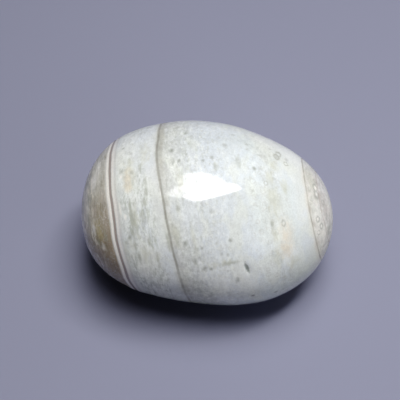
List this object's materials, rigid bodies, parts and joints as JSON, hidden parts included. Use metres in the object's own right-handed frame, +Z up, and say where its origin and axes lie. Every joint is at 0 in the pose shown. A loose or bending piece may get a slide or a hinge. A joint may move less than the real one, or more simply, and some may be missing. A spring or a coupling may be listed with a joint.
{
  "type": "polished ocean jasper stone",
  "caption": "Egg-shaped polished palm stone of banded ocean jasper, lying on its side, for display or holding in the hand.",
  "frame": {"origin": "on the surface that the stone rests on, under the middle of its length and width", "axes": "+X level along the stone towards its narrower end, +Y across it, +Z up"},
  "size_m": [0.06, 0.0436, 0.0425],
  "materials": {
    "jasper": "polished, pale grey-white chalcedony in layers, with thin brown, grey and tan seams and a tan end"
  },
  "bodies": {
    "root": {"stone": "jasper"}
  },
  "joints": []
}
